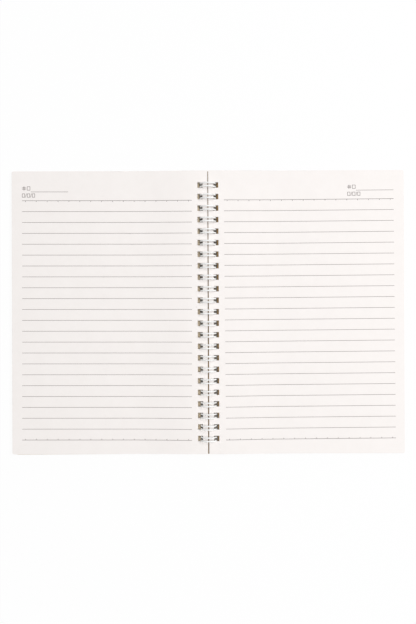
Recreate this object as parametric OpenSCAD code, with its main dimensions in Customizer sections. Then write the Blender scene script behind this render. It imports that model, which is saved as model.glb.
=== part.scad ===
// Wire-bound notebook, lying open near its middle.
// X runs across the two pages, Y up the spine towards the head, Z up from the table.
// The origin is on the table, under the middle of the binding.

/* [Paper] */
// Width of a page, from its spine edge to its fore edge
page_w = 144; // [120:0.5:200]
// Height of a page, from head to tail
page_h = 208.5; // [150:0.5:300]
// Radius of the page and cover corners at the fore edge
corner_r = 1.0; // [0.5:0.1:8]
// Sheets in each half of the open book
sheets = 30; // [10:1:50]
// Thickness of one sheet
sheet_t = 0.1; // [0.08:0.01:0.14]

/* [Covers] */
// Thickness of the cover board
cover_t = 0.5; // [0.3:0.05:2]
// How far a cover stands out past the pages at head, tail and fore edge
cover_lap = 0; // [0:0.1:3]
// Angle by which a cover lies askew under its pages
cover_skew = 0.12; // [-0.15:0.01:0.15]

/* [Punching] */
// Side of a square punched hole
hole_w = 4.1; // [3.8:0.1:5]
// Paper left between a hole and the spine edge
hole_edge = 3.3; // [2.5:0.1:5]
// Distance from one hole to the next
pitch = 8.467; // [8:0.001:12.7]
// Least paper left between the last hole's middle and the end of the page
end_margin = 8; // [6:0.5:20]
// How far the row of holes sits above the middle of the page
row_shift = 0.4; // [-1:0.1:1]

/* [Wire] */
// Thickness of the coated wire
wire_d = 1.0; // [0.7:0.05:1.3]
// Clearance from a wire to the side of its hole
wire_clear = 0.3; // [0.15:0.05:0.4]
// Radius of the bends where the wire turns from one loop to the next
bend_r = 1.2; // [0.8:0.1:1.6]
// Angle round the loop at which its feet begin, with 270 at the bottom
foot_angle = 300; // [292:1:304]
// Gap between the closed tip of a loop and its own feet
tip_gap = 0.05; // [0.02:0.01:0.3]

/* [Lay] */
// Least gap between the spine edges of the two top sheets
spine_gap = 0.9; // [0.5:0.1:2]
// How far the back cover reaches past that gap, under the other half's pages
under_gap = 0.3; // [0.1:0.05:1]
// Gap between a cover and the pages that lie on it
paper_gap = 0.1; // [0.05:0.01:0.3]
// Gap left between the two blocks of pages at the wire when the book is shut
shut_gap = 0.4; // [0.2:0.05:1]
// Clearance between the wire and the strip of paper inside it
seat_gap = 0.1; // [0.05:0.01:0.3]
// Level stretch of the sheets past their holes, before they come down to the table
flat_past_hole = 1; // [0.5:0.1:5]
// Length over which the sheets come down from the wire to the table
fall_len = 45; // [20:1:80]

/* [Ruling] */
// Distance from one ruled line to the next
rule_pitch = 8.02; // [6:0.01:10]
// Length of a ruled line
rule_len = 125.2; // [80:0.1:180]
// Margin from the spine edge of the page to the near end of a line
rule_margin = 11.3; // [10:0.1:20]
// Distance from the head of the page to the first line
rule_head = 21.5; // [18:0.1:40]
// Least paper left under the last line
rule_tail = 10; // [5:0.5:30]
// Width of an ordinary line
rule_w = 0.3; // [0.1:0.05:0.5]
// Width of the first and the last line
heavy_w = 0.35; // [0.1:0.05:0.8]
// Length of the tick marks on the first and the last line
tick_len = 0.9; // [0.4:0.1:2]
// Thickness of the printed ink
ink_t = 0.03; // [0.02:0.01:0.1]
// Angle by which the left-hand page's print runs out of square
left_skew = -0.2; // [-1:0.01:1]
// Angle by which the right-hand page's print runs out of square
right_skew = 0.33; // [-1:0.01:1]
// How far the right-hand page's print sits above the left-hand one's
right_shift = 0.3; // [-2:0.1:2]

/* [Heading] */
// Width of the number and date fields over the first line
field_w = 34; // [25:0.5:60]
// Height of the line of the number field over the first ruled line
number_rise = 6.5; // [6:0.1:8]
// Gap between the line of the number field and the foot of its mark
mark_gap = 1.1; // [0.4:0.1:2]
// Height of the date field's mark over the first ruled line
date_rise = 2.4; // [1:0.1:2.4]
// Space at the start of the number field, before its line
mark_space = 6.4; // [6:0.1:12]
// Height of the marks for number and date
mark_h = 2.9; // [1.5:0.1:3.5]
// Width of the open box in the number mark
number_box_w = 2.4; // [1.2:0.1:3]
// Width of each open box in the date mark
date_box_w = 2.1; // [1:0.1:2.4]
// Room between two boxes of the date mark, where a slash stands
slash_room = 1.6; // [1:0.05:2]
// How far a slash leans
slash_lean = 0.9; // [0.6:0.1:1]
// Thickness of the strokes that draw the marks
stroke = 0.35; // [0.15:0.05:0.5]

/* [Hidden] */

// Sizes that follow from the ones above
block_t = sheets * sheet_t;
stack_t = cover_t + paper_gap + block_t;
pair_w = hole_w - wire_d - 2 * wire_clear;

// From the middle of the loop down to the undersides of the pages, the back cover and the front cover.
// The front cover lies so far below the back one that it turns past the back one's edge.
pages_h = block_t + shut_gap / 2;
back_h = pages_h + paper_gap + cover_t;
back_tip = spine_gap / 2 + under_gap;
front_h = norm([back_tip, back_h]) + seat_gap + cover_t;

// The loop is as small as lets both halves lie inside it, one on the other, when the book is shut,
// and has room for the strips of the two covers that lie inside it.
// A thick book's halves lie further apart, so that its wide loop still passes through the holes.
web_h = pages_h + seat_gap;
back_r = norm([back_h + seat_gap, hole_edge - back_tip]);
front_r = norm([front_h + seat_gap, hole_edge / 2 + seat_gap]);
hole_room = hole_w - wire_d - seat_gap;
least_hole_x = max((web_h * web_h / hole_room - hole_room) / 2, max(back_r, front_r) - hole_room);
hole_x = max(spine_gap / 2 + hole_edge, least_hole_x);
spine_x = hole_x - hole_edge;
loop_in_r = max(norm([web_h, hole_x]), back_r, front_r);
loop_r = loop_in_r + wire_d / 2;
axis_z = loop_in_r + wire_d;
lift = axis_z - back_h;
front_lift = axis_z - front_h;

// The front cover reaches in past the middle until its holes clear the loop
front_web_h = front_h + seat_gap;
front_hole_x = min(hole_x, sqrt(loop_in_r * loop_in_r - front_web_h * front_web_h));
front_tip = hole_edge - front_hole_x;

// Where a cover and its pages begin to come down, and how many facets the fall has
fall_x = hole_x + hole_w + flat_past_hole;
fall_steps = 20;

// The rows of holes and lines
loops = floor((page_h - 2 * end_margin) / pitch) + 1;
lines = floor((page_h - rule_head - rule_tail) / rule_pitch) + 1;
first_line_y = page_h / 2 - rule_head;
rule_middle = spine_x + rule_margin + rule_len / 2;
tick_count = 2 * floor(rule_len / rule_pitch / 2 + 0.5);

// The arc that a loop leaves open, from its tip's bend back to its feet
tip_reach = pair_w / 2 + wire_d / 2 + bend_r + wire_d / 2 + tip_gap;
foot_step = pair_w / 2 + bend_r;
open_angle = sqrt(tip_reach * tip_reach - foot_step * foot_step) / loop_r * 180 / PI;
tip_angle = foot_angle - open_angle + 360;
// How far the two end wires run on past their feet's place, and how proud the beads are
cut_angle = 6;
bead_over = 0.02;

// Colours
paper_white = [0.97, 0.95, 0.93];
kraft = [0.72, 0.60, 0.45];
coat_white = [0.95, 0.95, 0.94];
ink_grey = [0.55, 0.53, 0.51];

$fn = 64;

function loop_y(k) = ((loops - 1) / 2 - k) * pitch + row_shift;
function ease(t) = t * t * (3 - 2 * t);
function fall(x, up) = up * (1 - ease(min(1, max(0, (x - fall_x) / fall_len))));

// Section across the spine: a layer from one edge to another, t thick, which starts z over the table
// at its fore edge and lies higher by up at its spine edge
function face_points(z, edges, up) = [
    for (x = concat(
        [edges[0]],
        [for (i = [0:fall_steps]) fall_x + fall_len * i / fall_steps],
        [edges[1]]
    )) [x, z + fall(x, up)]
];
function reversed(list) = [for (i = [len(list) - 1:-1:0]) list[i]];
function layer_section(z, t, edges, up) =
    concat(face_points(z, edges, up), reversed(face_points(z + t, edges, up)));

// A layer that runs the whole height of the sheet, still square at its corners
module layer(z, t, edges, h, up) {
    rotate([90, 0, 0])
        linear_extrude(height = h, center = true)
            polygon(layer_section(z, t, edges, up));
}

// The bit of a square corner that rounding takes off, with the corner at the origin
module corner_waste(r) {
    difference() {
        translate([-r, -r]) square(2 * r);
        translate([-r, -r]) circle(r);
    }
}

// A layer with round corners at its fore edge
module trimmed(z, t, edges, h, up) {
    difference() {
        layer(z, t, edges, h, up);
        for (m = [0, 1])
            mirror([0, m, 0])
                translate([edges[1], h / 2])
                    linear_extrude(height = 3 * stack_t, center = true) corner_waste(corner_r);
    }
}

// Takes the row of square holes out of a child, with their near sides at x
module punched(x) {
    difference() {
        children();
        for (k = [0:loops - 1])
            translate([x, loop_y(k) - hole_w / 2])
                linear_extrude(height = 3 * axis_z, center = true) square(hole_w);
    }
}

// A cover that reaches past the middle by its tip, and lies higher by up at the spine
module cover(tip, up, skew) {
    punched(hole_edge - tip)
        rotate(skew)
            trimmed(0, cover_t, [-tip, page_w + cover_lap - tip], page_h + 2 * cover_lap, up);
}

module page_block() {
    punched(hole_x)
        trimmed(cover_t + paper_gap, block_t, [spine_x, spine_x + page_w], page_h, lift);
}

// A bar from one end to another, w wide, on the flat
module bar(x, y, length, w) {
    translate([x, y - w / 2]) square([length, w]);
}

// An open box to write a figure in
module box(w) {
    difference() {
        square([w, mark_h]);
        translate([stroke, stroke]) square([w - 2 * stroke, mark_h - 2 * stroke]);
    }
}

// Mark of the number field: two upright strokes crossed by two level ones, and a box
module number_mark() {
    third = mark_h / 3;
    for (i = [1, 2]) {
        bar(0, i * third, mark_h, stroke);
        translate([i * third - stroke / 2, 0]) square([stroke, mark_h]);
    }
    translate([mark_h + 2 * stroke, 0]) box(number_box_w);
}

// Mark of the date field: three boxes with slashes between them
module date_mark() {
    step = date_box_w + slash_room;
    for (i = [0:2]) translate([i * step, 0]) box(date_box_w);
    for (i = [1, 2])
        translate([i * step - (slash_room + slash_lean) / 2, 0])
            polygon([[0, 0], [stroke, 0], [slash_lean, mark_h], [slash_lean - stroke, mark_h]]);
}

// Number and date fields, over the first line, from their left end
module heading() {
    bar(mark_space, number_rise, field_w - mark_space, rule_w);
    translate([0, number_rise + mark_gap]) number_mark();
    translate([0, date_rise]) date_mark();
}

// The printed ruling, with the middle of its first line at the origin
module ruling(heading_x) {
    start = -rule_len / 2;
    tail = -(lines - 1) * rule_pitch;
    for (i = [1:lines - 2]) bar(start, -i * rule_pitch, rule_len, rule_w);
    bar(start, 0, rule_len, heavy_w);
    bar(start, tail, rule_len, heavy_w);
    for (i = [0:tick_count - 1])
        translate([(i - (tick_count - 1) / 2) * rule_pitch, 0]) {
            translate([-stroke / 2, -tick_len]) square([stroke, tick_len]);
            translate([-stroke / 2, tail]) square([stroke, tick_len]);
        }
    translate([start + heading_x, 0]) heading();
}

// Ink on the top of the right-hand block, cut from a skin of ink by a flat pattern
module ink() {
    intersection() {
        layer(stack_t, ink_t, [spine_x, spine_x + page_w], page_h, lift);
        linear_extrude(height = 3 * axis_z) children();
    }
}

module front_cover() {
    color(kraft) mirror([1, 0, 0]) cover(front_tip, front_lift, -cover_skew);
}

module left_pages() {
    color(paper_white) mirror([1, 0, 0]) page_block();
}

module left_print() {
    color(ink_grey)
        mirror([1, 0, 0])
            ink() translate([rule_middle, first_line_y])
                mirror([1, 0, 0]) rotate(left_skew) ruling(0);
}

module right_pages() {
    color(paper_white) page_block();
}

module right_print() {
    color(ink_grey)
        ink() translate([rule_middle, first_line_y + right_shift])
            rotate(right_skew) ruling(rule_len - field_w);
}

module back_cover() {
    color(kraft) cover(back_tip, lift, cover_skew);
}

// Places a child at an angle round a loop: X out from the middle, Y on round the loop
module round_loop(angle) {
    translate([0, 0, axis_z]) rotate([90, 0, 0]) rotate(angle) children();
}

// A wire bent to a radius r in the XY plane, from one angle through another
module bent_wire(r, turn) {
    rotate_extrude(angle = turn) translate([r, 0]) circle(d = wire_d, $fn = 32);
}

// One wire of a loop, round from its foot to its tip
module loop_wire(start) {
    round_loop(start) bent_wire(loop_r, tip_angle - start);
}

// A drop of coating, a hair wider than the wire, which seals the joint between two lengths
module bead() {
    sphere(d = wire_d + bead_over, $fn = 32);
}

// The bend at the tip, which joins the two wires of a loop
module tip_bend() {
    round_loop(tip_angle)
        translate([loop_r, 0, 0]) {
            rotate([0, 90, 0]) bent_wire(pair_w / 2, 180);
            for (side = [-1, 1])
                translate([0, 0, side * pair_w / 2]) bead();
        }
}

// The foot bend that turns a wire along the spine, towards the head or the tail
module foot_bend(side) {
    round_loop(foot_angle)
        translate([loop_r, 0, -side * bend_r])
            rotate([0, 90, 0])
                rotate(side > 0 ? 180 : 270)
                    bent_wire(bend_r, 90);
}

// The straight foot that links one loop to the next one towards the tail
module foot() {
    straight = pitch - pair_w - 2 * bend_r;
    round_loop(foot_angle)
        translate([loop_r, -bend_r, bend_r]) {
            cylinder(h = straight, d = wire_d, $fn = 32);
            translate([0, 0, straight]) bead();
        }
}

// The whole binding: one wire, bent into a comb and closed into loops
module twin_wire() {
    color(coat_white)
        for (k = [0:loops - 1])
            translate([0, loop_y(k), 0]) {
                tip_bend();
                translate([0, pair_w / 2, 0])
                    if (k > 0) {
                        loop_wire(foot_angle);
                        foot_bend(1);
                    } else {
                        loop_wire(foot_angle - cut_angle);
                    }
                translate([0, -pair_w / 2, 0])
                    if (k < loops - 1) {
                        loop_wire(foot_angle);
                        foot_bend(-1);
                        foot();
                    } else {
                        loop_wire(foot_angle - cut_angle);
                    }
            }
}

front_cover();
left_pages();
left_print();
right_pages();
right_print();
back_cover();
twin_wire();
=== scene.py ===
"""Looks of a wire-bound notebook that lies open: loose ruled sheets, kraft board covers,
a coated twin-loop wire, the print, and a plain white studio. The notebook's shapes and the
camera's place are worked out in millimetres and turned into metres at the end. The floor's
mesh and the lamps are in metres."""
import math

import bpy
import numpy as np
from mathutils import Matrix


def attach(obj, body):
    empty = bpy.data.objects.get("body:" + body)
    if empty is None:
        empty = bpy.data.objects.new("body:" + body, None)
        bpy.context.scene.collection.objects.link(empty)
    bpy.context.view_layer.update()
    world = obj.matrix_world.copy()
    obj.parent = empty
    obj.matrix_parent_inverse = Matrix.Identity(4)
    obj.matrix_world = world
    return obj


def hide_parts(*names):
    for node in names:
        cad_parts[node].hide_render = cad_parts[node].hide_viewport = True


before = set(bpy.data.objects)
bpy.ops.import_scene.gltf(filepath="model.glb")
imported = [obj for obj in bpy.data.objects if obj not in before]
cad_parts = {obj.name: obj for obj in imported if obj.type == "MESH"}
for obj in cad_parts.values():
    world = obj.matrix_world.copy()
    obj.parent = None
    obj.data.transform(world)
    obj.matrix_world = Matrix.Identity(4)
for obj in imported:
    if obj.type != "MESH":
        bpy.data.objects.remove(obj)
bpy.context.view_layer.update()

MM = 0.001

# Sizes that the part's source also has
PAGE_W, PAGE_H, CORNER_R = 144.0, 208.5, 1.0
SHEETS, SHEET_T = 30, 0.1
COVER_T, COVER_SKEW = 0.5, 0.12
HOLE_W, HOLE_EDGE, PITCH, ROW_SHIFT, LOOPS = 4.1, 3.3, 8.467, 0.4, 23
WIRE_D, WIRE_CLEAR, BEND_R, TIP_GAP = 1.0, 0.3, 1.2, 0.05
FOOT_ANGLE, CUT_ANGLE = 300, 6
SPINE_GAP, UNDER_GAP, PAPER_GAP, SHUT_GAP, SEAT_GAP = 0.9, 0.3, 0.1, 0.4, 0.1
FLAT_PAST_HOLE, FALL_LEN, FALL_STEPS = 1, 45, 20

# What follows from them: heights under the middle of the loops, the loops' size and places,
# how far the layers rise towards the spine, where their fall starts, and the wire's bends
PAGES_H = SHEETS * SHEET_T + SHUT_GAP / 2
BACK_H = PAGES_H + PAPER_GAP + COVER_T
BACK_TIP = SPINE_GAP / 2 + UNDER_GAP
FRONT_H = math.hypot(BACK_TIP, BACK_H) + SEAT_GAP + COVER_T
HOLE_X = SPINE_GAP / 2 + HOLE_EDGE
SPINE_X = HOLE_X - HOLE_EDGE
LOOP_IN_R = math.hypot(PAGES_H + SEAT_GAP, HOLE_X)
LOOP_R = LOOP_IN_R + WIRE_D / 2
AXIS_Z = LOOP_IN_R + WIRE_D
LIFT, FRONT_LIFT = AXIS_Z - BACK_H, AXIS_Z - FRONT_H
FRONT_TIP = HOLE_EDGE - math.sqrt(LOOP_IN_R**2 - (FRONT_H + SEAT_GAP)**2)
STACK_T = COVER_T + PAPER_GAP + SHEETS * SHEET_T
FALL_X = HOLE_X + HOLE_W + FLAT_PAST_HOLE
PAIR_W = HOLE_W - WIRE_D - 2 * WIRE_CLEAR
TIP_REACH = PAIR_W / 2 + WIRE_D + BEND_R + TIP_GAP
OPEN_ARC = math.sqrt(TIP_REACH**2 - (PAIR_W / 2 + BEND_R)**2) / LOOP_R
LOOP_Y = ((LOOPS - 1) / 2 - np.arange(LOOPS)) * PITCH + ROW_SHIFT

# The loose sheets: the seed of their random lay, how thick one is, its play to the side at most,
# the shares of its play that its turn and its stray may take, how far the sheets lie towards
# the head, and by how much more or less a single one does
SHEET_SEED = 7
SHEET_BODY = 0.088
SHEET_PLAY = 0.3
TURN_SHARE, STRAY_SHARE = 0.4, (-0.2, 0.9)
SHEET_RISE, RISE_PLAY = 0.15, 0.06

# The boards: how far the front one lies towards the tail, as far as its holes let it, and how
# softly their rims are rounded
BOARD_DROP = 0.22
RIM_SOFT, RIM_STEPS = 0.06, 2

# How finely shapes are drawn: the arc of a fore-edge corner, the station on the flat past the
# fall (times the fall's end), the sides of the wire, and the angle past which a rim is sharp
FORE_STEPS = 4
FLAT_STATION = 1.8
WIRE_SIDES = 14
SHARP_ANGLE = 35

# The wire's rounded ends: how wide the two smaller rings are and how far out, as shares of the
# wire's thickness, and how far past the last of them the middle point is
END_WIDTHS = (0.88, 0.55)
END_REACHES = (0.13, 0.22)
END_MIDDLE = 0.03


# Finishes

class Value:
    """A node's output that varies over a surface. Sums and products of it add Math nodes."""

    def __init__(self, finish, socket):
        self.finish, self.socket = finish, socket

    def math(self, operation, *terms):
        return self.finish.node("ShaderNodeMath", {"operation": operation}, dict(enumerate(terms)))

    def __add__(self, other):
        return self.math("ADD", self, other)

    def __sub__(self, other):
        return self.math("SUBTRACT", self, other)

    def __rsub__(self, other):
        return self.math("SUBTRACT", other, self)

    def __mul__(self, other):
        return self.math("MULTIPLY", self, other)

    __radd__, __rmul__ = __add__, __mul__

    def larger(self, other):
        return self.math("MAXIMUM", self, other)

    def from_zero(self):
        """How far the value is from 0, either way."""
        return self.math("ABSOLUTE", self)

    def over(self, low, high):
        """0 below low, 1 above high, and a smooth step between them."""
        return self.finish.node(
            "ShaderNodeMapRange",
            {"interpolation_type": "SMOOTHSTEP"},
            {"Value": self, "From Min": low, "From Max": high},
        )


class Finish:
    """The shader nodes of a material or of the world, and the links between them."""

    def __init__(self, owner):
        self.owner = owner
        owner.use_nodes = True
        self.tree = owner.node_tree
        self.tree.nodes.clear()

    def node(self, kind, settings=None, sockets=None, out=0):
        """Adds a node, sets its settings, then fills its sockets, and returns one output."""
        made = self.tree.nodes.new(kind)
        for key, value in (settings or {}).items():
            setattr(made, key, value)
        for key, value in (sockets or {}).items():
            if isinstance(value, Value):
                self.tree.links.new(value.socket, made.inputs[key])
            else:
                made.inputs[key].default_value = value
        return Value(self, made.outputs[out]) if made.outputs else None

    def place(self, stretch=(1, 1, 1), turn=0.0):
        """Object coordinates in millimetres, stretched and turned about Z for a pattern."""
        at = self.node("ShaderNodeTexCoord", out="Object")
        scale = tuple(s / MM for s in stretch)
        return self.node(
            "ShaderNodeMapping",
            {"vector_type": "POINT"},
            {"Vector": at, "Rotation": (0, 0, math.radians(turn)), "Scale": scale},
        )

    def noise(self, at, scale, detail=2.0, roughness=0.5):
        """Cloudy noise with scale patches to the millimetre."""
        sockets = {"Vector": at, "Scale": scale, "Detail": detail, "Roughness": roughness}
        return self.node("ShaderNodeTexNoise", {"noise_dimensions": "3D"}, sockets)

    def attribute(self, name):
        """A number kept on the piece's own faces."""
        return self.node("ShaderNodeAttribute", {"attribute_name": name}, out="Fac")

    def seen(self):
        """1 for rays from the camera, and for those that a glossy or clear surface passes on."""
        camera = self.node("ShaderNodeLightPath", out="Is Camera Ray")
        glossy = self.node("ShaderNodeLightPath", out="Is Glossy Ray")
        clear = self.node("ShaderNodeLightPath", out="Is Transmission Ray")
        return camera.larger(glossy).larger(clear)

    def mix(self, share, low, high):
        """A colour between low and high."""
        sockets = {0: share, 6: low, 7: high}
        return self.node("ShaderNodeMix", {"data_type": "RGBA"}, sockets, out=2)

    def bump(self, height, depth, strength=1.0):
        """The surface's slope from a height that spans depth millimetres."""
        sockets = {"Height": height, "Distance": depth * MM, "Strength": strength}
        return self.node("ShaderNodeBump", None, sockets)

    def close(self, **sockets):
        """Ends the material in one Principled shader."""
        named = {key.replace("_", " "): value for key, value in sockets.items()}
        shader = self.node("ShaderNodeBsdfPrincipled", None, named)
        self.node("ShaderNodeOutputMaterial", None, {"Surface": shader})
        return self.owner


def tint(red, green, blue):
    return (red, green, blue, 1.0)


def new_finish(name):
    return Finish(bpy.data.materials.new(name))


def page_paper():
    """Uncoated warm white paper: soft clouds, short fibres both ways, and darker, browner cut edges,
    partly the edges' own tone and partly painted shade between the sheets.
    """
    f = new_finish("page paper")
    cloud = f.noise(f.place(), 0.12, 3.0, 0.6)
    grain = f.noise(f.place(), 5.0, 3.0, 0.65)
    along = f.noise(f.place((0.25, 1.6, 1), 24), 1.7, 2.0)
    across = f.noise(f.place((1.6, 0.25, 1), -17), 1.7, 2.0)
    fibre = (along + across) * 0.5
    face_share = cloud * 0.55 + grain * 0.2 + fibre * 0.25
    face = f.mix(face_share, tint(0.865, 0.823, 0.795), tint(0.94, 0.898, 0.875))
    streak = f.noise(f.place((0.6, 0.6, 9)), 1.2, 2.0)
    edge_share = f.attribute("tone") * 0.6 + streak * 0.4
    # Partly painted shade: the cut edges' colours are darker and browner than the face, for the shade
    # between the sheets, with a random tone for each sheet
    edge = f.mix(edge_share, tint(0.76, 0.71, 0.65), tint(0.90, 0.86, 0.81))
    colour = f.mix(f.attribute("cut"), face, edge)
    return f.close(
        Base_Color=colour,
        Roughness=grain * 0.2 + 0.72,
        Normal=f.bump(fibre * 0.6 + grain * 0.4, 0.03, 0.35),
        Specular_IOR_Level=0.25,
    )


def kraft_board(name, low, high):
    """Board of unbleached pulp between two browns: long fibres at several angles, and dark and
    light flecks."""
    f = new_finish(name)
    cloud = f.noise(f.place(), 0.06, 4.0, 0.6)
    turns = (12, 74, -38)
    threads = [f.noise(f.place((0.18, 1.5, 1), t), 1.6, 3.0, 0.6) for t in turns]
    fibre = (threads[0] + threads[1] + threads[2]) * (1 / 3)
    grain = f.noise(f.place(), 3.5, 2.0)
    base = f.mix((cloud * 0.3 + fibre * 0.5 + grain * 0.2).over(0.3, 0.7), low, high)
    dark = f.noise(f.place((0.35, 1.1, 1), 33), 1.15, 1.0).over(0.64, 0.72)
    light = f.noise(f.place((0.3, 1.3, 1), -61), 0.95, 1.0).over(0.66, 0.72)
    flecked = f.mix(dark * 0.5, base, tint(0.30, 0.20, 0.10))
    flecked = f.mix(light * 0.4, flecked, tint(0.82, 0.71, 0.53))
    streak = f.noise(f.place((0.5, 0.5, 6)), 1.4, 2.0)
    return f.close(
        Base_Color=f.mix(f.attribute("cut"), flecked, f.mix(streak, low, high)),
        Roughness=grain * 0.15 + 0.68,
        Normal=f.bump(fibre * 0.7 + grain * 0.3, 0.06, 0.45),
        Specular_IOR_Level=0.3,
    )


def white_wire():
    """Steel wire in a white nylon coat: a soft sheen with fine ripples and faint rubbed spots."""
    f = new_finish("white coated wire")
    ripple = f.noise(f.place(), 2.2, 2.0)
    rub = f.noise(f.place(), 0.35, 3.0, 0.6).over(0.55, 0.72)
    colour = f.mix(rub * 0.5 + ripple * 0.3, tint(0.95, 0.95, 0.94), tint(0.89, 0.887, 0.872))
    return f.close(
        Base_Color=colour,
        Roughness=rub * 0.14 + ripple * 0.1 + 0.26,
        Normal=f.bump(ripple, 0.02, 0.3),
        Coat_Weight=0.3,
        Coat_Roughness=0.15,
    )


def grey_ink():
    """Thin warm grey print, a little uneven where the paper took less of it."""
    f = new_finish("grey ink")
    patch = f.noise(f.place(), 0.5, 2.0)
    speckle = f.noise(f.place(), 7.0, 2.0, 0.7)
    share = patch * 0.5 + speckle.over(0.35, 0.75) * 0.5
    return f.close(
        Base_Color=f.mix(share, tint(0.19, 0.168, 0.163), tint(0.315, 0.279, 0.271)),
        Roughness=speckle * 0.2 + 0.6,
        Specular_IOR_Level=0.3,
    )


# Shapes

def ease(t):
    """A step that leaves 0 and reaches 1 level: three t squared less two t cubed."""
    return t * t * (3 - 2 * t)


def fall(x, up):
    """Height of a layer over its fore edge: up at the spine, eased down to 0 along the fall."""
    return up * (1 - ease(np.clip((x - FALL_X) / FALL_LEN, 0, 1)))


def new_piece(name, points, faces, finish, replaced, body):
    """A smooth mesh with sharp rims from points in millimetres, riding on a body."""
    mesh = bpy.data.meshes.new(name)
    mesh.from_pydata((points * MM).tolist(), [], faces)
    mesh.shade_smooth()
    mesh.set_sharp_from_angle(angle=math.radians(SHARP_ANGLE))
    mesh.materials.append(finish)
    piece = bpy.data.objects.new(name, mesh)
    bpy.context.scene.collection.objects.link(piece)
    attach(piece, body)
    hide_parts(replaced)
    return piece


def layer_walls(paper):
    """Where a grid of cells is open. Gives the cell corners on each open side, as pairs of
    (station, row), in the order in which a wall below the pair faces away from the paper."""
    padded = np.pad(paper, 1)
    sides = []
    for axis in (0, 1):
        before = padded[:-1, 1:-1] if axis == 0 else padded[1:-1, :-1]
        after = padded[1:, 1:-1] if axis == 0 else padded[1:-1, 1:]
        step = np.array([0, 1] if axis == 0 else [1, 0])
        for one, other, swap in ((after, before, axis == 1), (before, after, axis == 0)):
            start = np.argwhere(one & ~other)
            pair = np.stack([start, start + step], 1)
            sides.append(pair[:, ::-1] if swap else pair)
    return np.concatenate(sides)


def punched_layers(tops, body_t, edges, hole_x, up, turns, shifts, side):
    """Flat layers one over another, with the row of square holes.

    The grid of one layer is stations x by rows y. A point of it is turned by the layer's
    angle and moved by its shift, and its height is the layer's top plus fall(x). At the fore
    edge the end rows come in along a quarter circle: r less the root of r squared less d
    squared, d being the distance past the circle's middle. The cells inside holes are left
    out, and each open side gets a wall. Returns points, quads, and a number for each quad, 1
    for a wall and 0 for a face."""
    arc = edges[1] - CORNER_R * (1 - np.sin(np.linspace(0, math.pi / 2, FORE_STEPS)))
    slope = FALL_X + FALL_LEN * np.arange(FALL_STEPS + 1) / FALL_STEPS
    flat = [slope[-1] * FLAT_STATION]
    xs = np.concatenate([[edges[0], hole_x, hole_x + HOLE_W], slope, flat, arc])
    rims = np.sort(np.concatenate([LOOP_Y - HOLE_W / 2, LOOP_Y + HOLE_W / 2]))
    ys = np.concatenate([[-PAGE_H / 2], rims, [PAGE_H / 2]])
    x, y = np.meshgrid(xs, ys, indexing="ij")
    past = np.clip(xs - (edges[1] - CORNER_R), 0, CORNER_R)
    inset = CORNER_R - np.sqrt(CORNER_R**2 - past**2)
    y[:, 0] += inset
    y[:, -1] -= inset
    a = np.radians(turns)[:, None, None]
    px = x * np.cos(a) - y * np.sin(a) + shifts[:, 0, None, None]
    py = x * np.sin(a) + y * np.cos(a) + shifts[:, 1, None, None]
    top = tops[:, None, None] + fall(px, up)
    across = np.stack([px * side, px * side], 1)
    points = np.stack([across, np.stack([py, py], 1), np.stack([top, top - body_t], 1)], -1)

    paper = np.ones((len(xs) - 1, len(ys) - 1), bool)
    paper[1, 1::2] = False
    rows = len(ys)
    under = len(xs) * rows
    i, j = np.nonzero(paper)
    corner = i * rows + j
    face = np.stack([corner, corner + rows, corner + rows + 1, corner + 1], 1)
    wall = layer_walls(paper) @ np.array([rows, 1])
    wall = np.concatenate([wall, wall[:, ::-1] + under], 1)
    one = np.concatenate([face, face[:, ::-1] + under, wall])
    quads = one[None] + (np.arange(len(tops)) * 2 * under)[:, None, None]
    cut = np.tile(np.arange(len(one)) >= 2 * len(face), len(tops))
    if side < 0:
        quads = quads[:, :, ::-1]
    return points.reshape(-1, 3), quads.reshape(-1, 4), cut.astype(np.float32)


def keep_on_faces(piece, name, values):
    """Keeps one number a face on the piece, for its finish to read."""
    kept = piece.data.attributes.new(name, "FLOAT", "FACE")
    kept.data.foreach_set("value", values.astype(np.float32))


def loose_sheets(name, side, seed, top_turn, top_stray, fan, finish, replaced, body):
    """Thirty thin sheets, each a hair out of line with the next.

    A sheet has room to stray away from the spine: the root of the loop's inner radius
    squared less the square of the sheet's depth under the loop's middle, less HOLE_X. Its
    play is half of that, or SHEET_PLAY where there is more. The sheets under the top one also
    turn by up to fan degrees, and the top one lies where top_turn and top_stray put it."""
    draw = np.random.default_rng(seed)
    tops = STACK_T - SHEET_T * np.arange(SHEETS)[::-1]
    depth = AXIS_Z - LIFT - tops + SHEET_BODY
    play = np.minimum((np.sqrt(LOOP_IN_R**2 - depth**2) - HOLE_X) / 2, SHEET_PLAY)
    reach = LOOP_Y[0] + HOLE_W / 2
    turns = np.degrees(draw.uniform(-TURN_SHARE, TURN_SHARE, SHEETS) * play / reach)
    turns += fan * play / SHEET_PLAY
    strays = draw.uniform(*STRAY_SHARE, SHEETS) * play
    rises = SHEET_RISE + draw.uniform(-RISE_PLAY, RISE_PLAY, SHEETS)
    shifts = np.stack([strays, rises], 1)
    turns[-1], shifts[-1] = top_turn, (top_stray, SHEET_RISE)
    tones = draw.uniform(0, 1, SHEETS)
    edges = (SPINE_X, SPINE_X + PAGE_W)
    points, quads, cut = punched_layers(tops, SHEET_BODY, edges, HOLE_X, LIFT, turns, shifts, side)
    piece = new_piece(name, points, quads.tolist(), finish, replaced, body)
    keep_on_faces(piece, "cut", cut)
    keep_on_faces(piece, "tone", np.repeat(tones, len(quads) // SHEETS))
    return piece


def cover_board(name, side, tip, up, skew, drop, finish, replaced, body):
    """One board with softened rims. It lies askew, and by drop nearer to the tail."""
    tops = np.array([COVER_T])
    edges = (-tip, PAGE_W - tip)
    turn, shift = np.array([skew]), np.array([[0, -drop]])
    points, quads, cut = punched_layers(tops, COVER_T, edges, HOLE_EDGE - tip, up, turn, shift, side)
    piece = new_piece(name, points, quads.tolist(), finish, replaced, body)
    keep_on_faces(piece, "cut", cut)
    soft = piece.modifiers.new("softened rims", "BEVEL")
    soft.width = RIM_SOFT * MM
    soft.segments = RIM_STEPS
    soft.limit_method = "ANGLE"
    return piece


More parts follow.
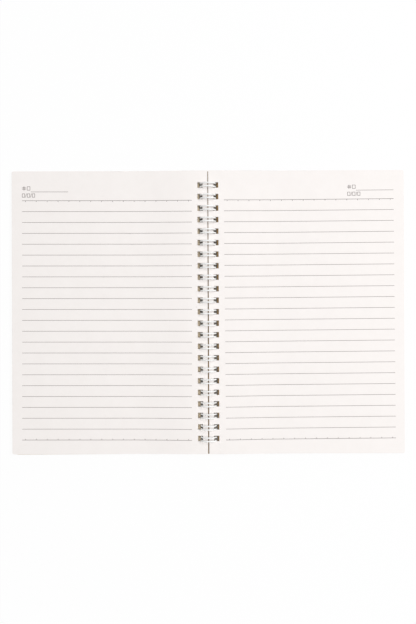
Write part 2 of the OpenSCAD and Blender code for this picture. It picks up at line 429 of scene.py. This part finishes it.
def comb_path():
    """The wire's middle line, from the head to the tail.

    Each loop is drawn round a drum: an angle, a distance y along the spine, and a step t off
    the drum along its tangent. In order: a quarter circle of radius BEND_R from the foot into
    the loop, the arc to the tip, a half circle of radius PAIR_W / 2 round the tip, the arc
    back, and a quarter circle out to the next foot. The straight feet are what lies between
    one loop's last point and the next one's first. Returns points, tangents and radials."""
    half, bend = PAIR_W / 2, BEND_R
    foot = math.radians(FOOT_ANGLE)
    tip = foot - OPEN_ARC + 2 * math.pi
    quarter = np.linspace(0, math.pi / 2, 6)
    over = np.linspace(foot, tip, 49)[1:-1]
    turn = np.linspace(0, math.pi, 13)
    zero, one = np.zeros_like, np.ones_like
    # Columns: angle, y, t, and the heading in y and in t
    cos, sin = np.cos(quarter), np.sin(quarter)
    into = [foot * one(quarter), half + bend - bend * sin, -bend * cos, -cos, sin]
    up = [over, half * one(over), zero(over), zero(over), one(over)]
    round_tip = [tip * one(turn), half * np.cos(turn), half * np.sin(turn), -np.sin(turn), np.cos(turn)]
    down = [over[::-1], -half * one(over), zero(over), zero(over), -one(over)]
    out = [foot * one(quarter), -half - bend + bend * cos, -bend * sin, -sin, -cos]
    loop = np.concatenate([np.stack(part, 1) for part in (into, up, round_tip, down, out)])
    path = np.repeat(loop[None], LOOPS, 0)
    path[:, :, 1] += LOOP_Y[:, None]
    path = path.reshape(-1, 5)
    # The two end wires have no foot: they run on straight round the drum to their cut
    bends = len(quarter)
    path = path[bends - 1:len(path) - bends + 1]
    ends = path[[0, -1]]
    ends[:, 0] -= math.radians(CUT_ANGLE)
    path = np.concatenate([ends[:1], path, ends[1:]])
    angle, y, t, head_y, head_t = path.T
    radial = np.stack([np.cos(angle), zero(angle), np.sin(angle)], 1)
    around = np.stack([-np.sin(angle), zero(angle), np.cos(angle)], 1)
    along = np.array([0.0, 1.0, 0.0])
    points = LOOP_R * radial + t[:, None] * around + y[:, None] * along + [0, 0, AXIS_Z]
    tangents = head_t[:, None] * around + head_y[:, None] * along
    return points, tangents, radial


def bent_wire(name, finish, replaced, body):
    """The whole binding as one tube: a circle carried along the comb's path, with its radial
    direction and the cross product of path and radial as the circle's two axes. Both cut
    ends round off through two smaller rings to a middle point."""
    points, tangents, radial = comb_path()
    ends = np.array([0, 0, *range(len(points)), -1, -1])
    points, tangents, radial = points[ends], tangents[ends], radial[ends]
    swell = np.ones(len(points))
    swell[[1, 0]] = swell[[-2, -1]] = END_WIDTHS
    reach = np.zeros(len(points))
    reach[[-2, -1]] = END_REACHES
    reach[[1, 0]] = -reach[[-2, -1]]
    points = points + tangents * (reach * WIRE_D)[:, None]
    sides = WIRE_SIDES
    turn = np.arange(sides) * 2 * math.pi / sides
    cross = np.cross(tangents, radial)
    ring = np.cos(turn)[None, :, None] * radial[:, None] + np.sin(turn)[None, :, None] * cross[:, None]
    tube = points[:, None] + ring * (swell * WIRE_D / 2)[:, None, None]
    rings = np.arange(len(points) - 1)[:, None] * sides
    here, after = np.arange(sides), (np.arange(sides) + 1) % sides
    beyond = rings + sides
    quads = np.stack([rings + here, rings + after, beyond + after, beyond + here], -1).reshape(-1, 4)
    first, last = len(points) * sides, len(points) * sides + 1
    start = np.stack([np.full(sides, first), after, here], 1)
    final = np.stack([np.full(sides, last), last - 1 - sides + here, last - 1 - sides + after], 1)
    poles = points[[0, -1]] + tangents[[0, -1]] * [[-END_MIDDLE], [END_MIDDLE]]
    vertices = np.concatenate([tube.reshape(-1, 3), poles])
    faces = quads.tolist() + start.tolist() + final.tolist()
    return new_piece(name, vertices, faces, finish, replaced, body)


# The notebook

paper, coat, ink = page_paper(), white_wire(), grey_ink()
# The front board is a pale kraft and the back board a dark brown one: partly two different boards,
# partly painted light and shade, the pale one for the lit strips in the left-hand holes and the brown
# one for the shaded bars in the right-hand holes
pale_board_and_light = kraft_board("pale kraft board and painted light", tint(0.64, 0.53, 0.37), tint(0.77, 0.665, 0.50))
brown_board_and_shade = kraft_board("brown kraft board and painted shade", tint(0.44, 0.28, 0.125), tint(0.58, 0.39, 0.19))
loose_sheets(
    "left_sheets", -1, SHEET_SEED, top_turn=0.03, top_stray=0.1, fan=0.06,
    finish=paper, replaced="left_pages", body="left_pages",
)
loose_sheets(
    "right_sheets", 1, SHEET_SEED + 1, top_turn=0.06, top_stray=-0.06, fan=-0.06,
    finish=paper, replaced="right_pages", body="right_pages",
)
cover_board(
    "front_board", -1, tip=FRONT_TIP, up=FRONT_LIFT, skew=-COVER_SKEW, drop=BOARD_DROP,
    finish=pale_board_and_light, replaced="front_cover", body="front_cover",
)
cover_board(
    "back_board", 1, tip=BACK_TIP, up=LIFT, skew=COVER_SKEW, drop=0,
    finish=brown_board_and_shade, replaced="back_cover", body="binding",
)
bent_wire("comb_wire", coat, "twin_wire", "binding")
for node in ("left_print", "right_print"):
    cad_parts[node].data.materials.clear()
    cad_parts[node].data.materials.append(ink)


# The studio

# The darker strip of floor under the binding, which is painted shade for the shadow there: where it
# fades out at its sides and at its ends, in millimetres from the middle
SHADE_STRIP_SIDES, SHADE_STRIP_ENDS = (6.5, 8.5), (97, 100)
# How much of the floor's look is plain white. The rest keeps the shadow
PLAIN_WHITE = 0.93
FLOOR_REACH, FLOOR_Z = 2.5, -0.00005


def white_floor():
    """Matt white floor that shows as plain white to the camera and keeps a soft shadow. In a strip
    under the binding it is matt and drawn darker, painted shade that stands in for the shadow there, so
    that the holes look as deep as they are."""
    f = new_finish("white floor")
    x = f.node("ShaderNodeSeparateXYZ", None, {"Vector": f.place()}, out="X")
    y = f.node("ShaderNodeSeparateXYZ", None, {"Vector": f.place()}, out="Y")
    # Painted shade: under the binding the floor's colour is darker and gets no glow, in place of the
    # shadow there
    past_painted_shade = x.from_zero().over(*SHADE_STRIP_SIDES).larger(y.from_zero().over(*SHADE_STRIP_ENDS))
    colour = f.mix(past_painted_shade, tint(0.46, 0.43, 0.39), tint(0.9, 0.9, 0.9))
    sockets = {"Base Color": colour, "Roughness": 1.0, "Specular IOR Level": 0.0}
    matt = f.node("ShaderNodeBsdfPrincipled", None, sockets)
    glow = f.node("ShaderNodeEmission", None, {"Color": tint(1, 1, 1), "Strength": 1.0})
    share = f.seen() * past_painted_shade * PLAIN_WHITE
    both = f.node("ShaderNodeMixShader", None, {0: share, 1: matt, 2: glow})
    f.node("ShaderNodeOutputMaterial", None, {"Surface": both})
    return f.owner


def white_world(level):
    """A world that looks white to the camera and in reflections, and lights at a level."""
    world = bpy.data.worlds.new("white room")
    bpy.context.scene.world = world
    f = Finish(world)
    light = f.node("ShaderNodeBackground", None, {"Color": tint(1, 1, 1), "Strength": level})
    white = f.node("ShaderNodeBackground", None, {"Color": tint(1, 1, 1), "Strength": 1.0})
    both = f.node("ShaderNodeMixShader", None, {0: f.seen(), 1: light, 2: white})
    f.node("ShaderNodeOutputWorld", None, {"Surface": both})


def soft_lamp(name, place, length, width, power, colour):
    """A soft box that faces the middle of the notebook and whose length lies level."""
    lamp = bpy.data.lights.new(name, "AREA")
    lamp.shape = "RECTANGLE"
    lamp.size, lamp.size_y, lamp.energy, lamp.color = length, width, power, colour
    holder = bpy.data.objects.new(name, lamp)
    bpy.context.scene.collection.objects.link(holder)
    holder.location = place
    holder.rotation_euler = (-holder.location).to_track_quat("-Z", "Y").to_euler()


floor_mesh = bpy.data.meshes.new("floor")
corners = np.array([(-1, -1, 0), (1, -1, 0), (1, 1, 0), (-1, 1, 0)]) * FLOOR_REACH + [0, 0, FLOOR_Z]
floor_mesh.from_pydata(corners.tolist(), [], [(0, 1, 2, 3)])
floor_mesh.materials.append(white_floor())
floor = bpy.data.objects.new("floor", floor_mesh)
bpy.context.scene.collection.objects.link(floor)

white_world(level=0.4)
soft_lamp("key from the right", (0.92, 0.2, 1.48), 1.1, 0.36, power=15.4, colour=(0.985, 0.99, 1.0))
soft_lamp("fill from above", (0.2, 0.2, 3.0), 0.8, 0.8, power=22.5, colour=(0.99, 0.995, 1.0))

# The camera looks straight down. FRAME_H is the height of the view at the level of the pages,
# CENTRE_PX is where the origin lies in the picture, in pixels from its top left, and ROLL is
# the camera's turn about the way it looks, in degrees
PICTURE_W, PICTURE_H = 416, 624
EYE_Z, PAGE_Z, FRAME_H = 620.0, STACK_T, 460.1
CENTRE_PX = (208.28, 312.5)
ROLL = 0.24
per_px = FRAME_H / PICTURE_H
camera = bpy.data.cameras.new("camera")
camera.lens = camera.sensor_width * (EYE_Z - PAGE_Z) / FRAME_H
camera.clip_start, camera.clip_end = 0.01, 20
eye = bpy.data.objects.new("camera", camera)
bpy.context.scene.collection.objects.link(eye)
eye_x = (PICTURE_W / 2 - CENTRE_PX[0]) * per_px
eye_y = (CENTRE_PX[1] - PICTURE_H / 2) * per_px
eye.location = (eye_x * MM, eye_y * MM, EYE_Z * MM)
eye.rotation_euler = (0, 0, math.radians(-ROLL))
bpy.context.scene.camera = eye
bpy.context.scene.view_settings.view_transform = "Standard"
